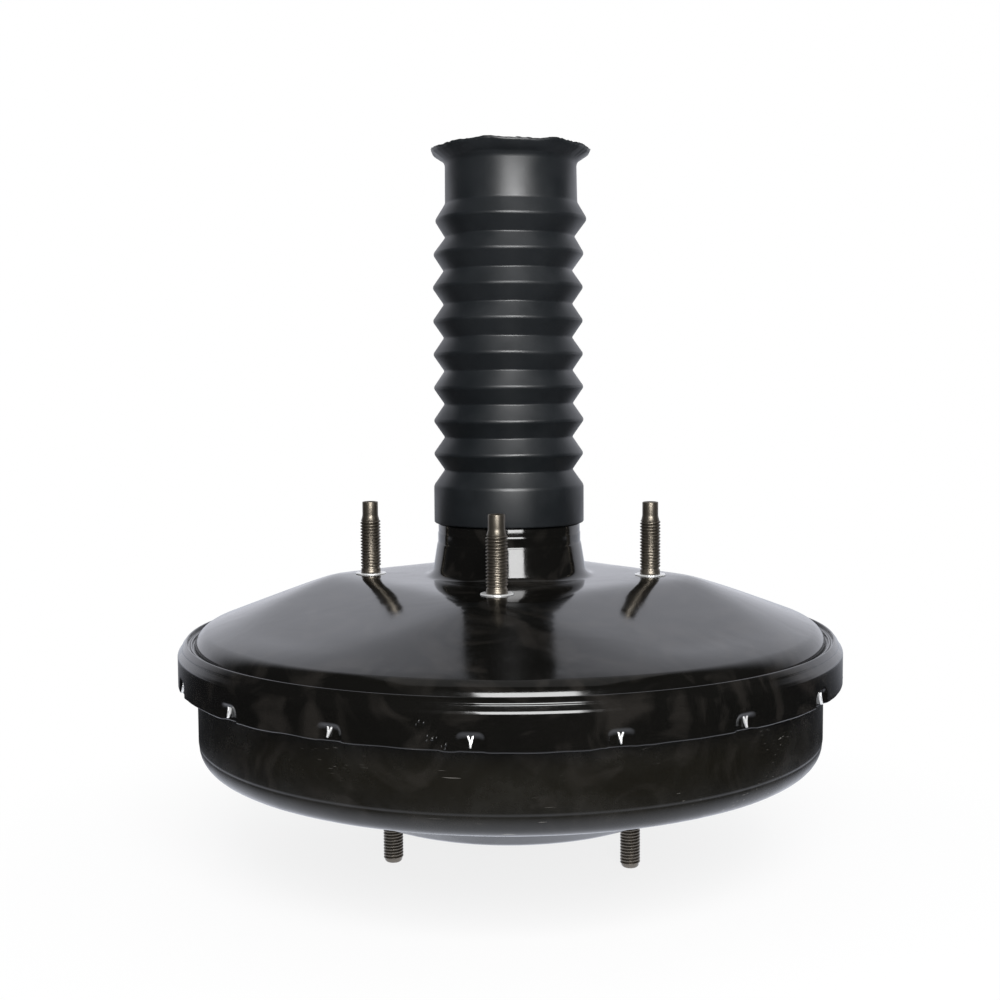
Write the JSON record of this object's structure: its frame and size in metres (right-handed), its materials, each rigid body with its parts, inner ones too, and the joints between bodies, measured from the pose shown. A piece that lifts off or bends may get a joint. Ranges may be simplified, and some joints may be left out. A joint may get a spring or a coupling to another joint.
{
  "type": "brake booster",
  "caption": "Round vacuum brake booster with a domed rear shell, mounting studs, a ring of lanced tabs and a long pleated boot over the input rod.",
  "frame": {"origin": "centre of the rear mounting face, on the booster's axis", "axes": "+Z along the axis towards the pedal, out of the rear mounting face; +X along the line of the two front studs"},
  "size_m": [0.262, 0.262, 0.2874],
  "materials": {
    "casing_paint": "gloss black",
    "front_paint": "satin black",
    "plated_steel": "zinc plated",
    "stud_steel": "dark oiled phosphate",
    "boot_rubber": "satin black",
    "diaphragm_rubber": "matte black",
    "seal_rubber": "satin black",
    "moulding": "satin black",
    "spring_steel": "oiled spring steel",
    "machined_steel": "machined",
    "foam": "open-cell foam",
    "felt": "felt"
  },
  "bodies": {
    "housing": {"rear_shell": "casing_paint", "stud_plate": "plated_steel", "rear_studs": "stud_steel", "front_shell": "front_paint", "front_reinforcement": "plated_steel", "front_studs": "stud_steel", "boot": "boot_rubber", "guide_bush": "moulding", "valve_body_seal": "seal_rubber", "seal_retainer": "plated_steel", "diaphragm": "diaphragm_rubber", "return_spring": "spring_steel", "front_seal": "seal_rubber", "front_seal_retainer": "plated_steel", "check_valve_grommet": "seal_rubber", "check_valve_body": "moulding", "check_valve_cap": "moulding", "check_valve_spring": "spring_steel"},
    "piston": {"valve_body": "moulding", "diaphragm_plate": "plated_steel", "stop_key": "plated_steel", "reaction_disc": "seal_rubber", "output_rod": "machined_steel", "rod_retainer": "plated_steel", "poppet": "seal_rubber", "poppet_retainer": "plated_steel", "poppet_spring": "spring_steel", "air_filter": "foam", "filter_felt": "felt", "filter_retainer": "moulding", "rod_spring": "spring_steel"},
    "plunger_body": {"plunger": "machined_steel"},
    "rod": {"input_rod": "machined_steel", "spring_seat": "plated_steel", "lock_nut": "plated_steel"},
    "check_disc": {"check_valve_disc": "seal_rubber"}
  },
  "joints": [
    {"name": "piston_stroke", "type": "slide", "parent": "housing", "child": "piston", "axis": [0, 0, -1], "range_m": [0, 0.033], "stiffness_N_per_m": 4000, "springref_m": -0.03, "deforming": ["return_spring", "diaphragm"]},
    {"name": "valve_travel", "type": "slide", "parent": "piston", "child": "plunger_body", "axis": [0, 0, -1], "range_m": [0, 0.0014], "stiffness_N_per_m": 6000, "springref_m": -0.004, "deforming": ["rod_spring"]},
    {"name": "rod_tilt", "type": "hinge", "parent": "plunger_body", "child": "rod", "pos_m": [0, 0, 0.014], "axis": [1, 0, 0], "range_deg": [-2, 2]},
    {"name": "check_valve_lift", "type": "slide", "parent": "housing", "child": "check_disc", "axis": [0, 0, -1], "range_m": [0, 0.002], "stiffness_N_per_m": 60, "springref_m": -0.002, "deforming": ["check_valve_spring"]}
  ]
}
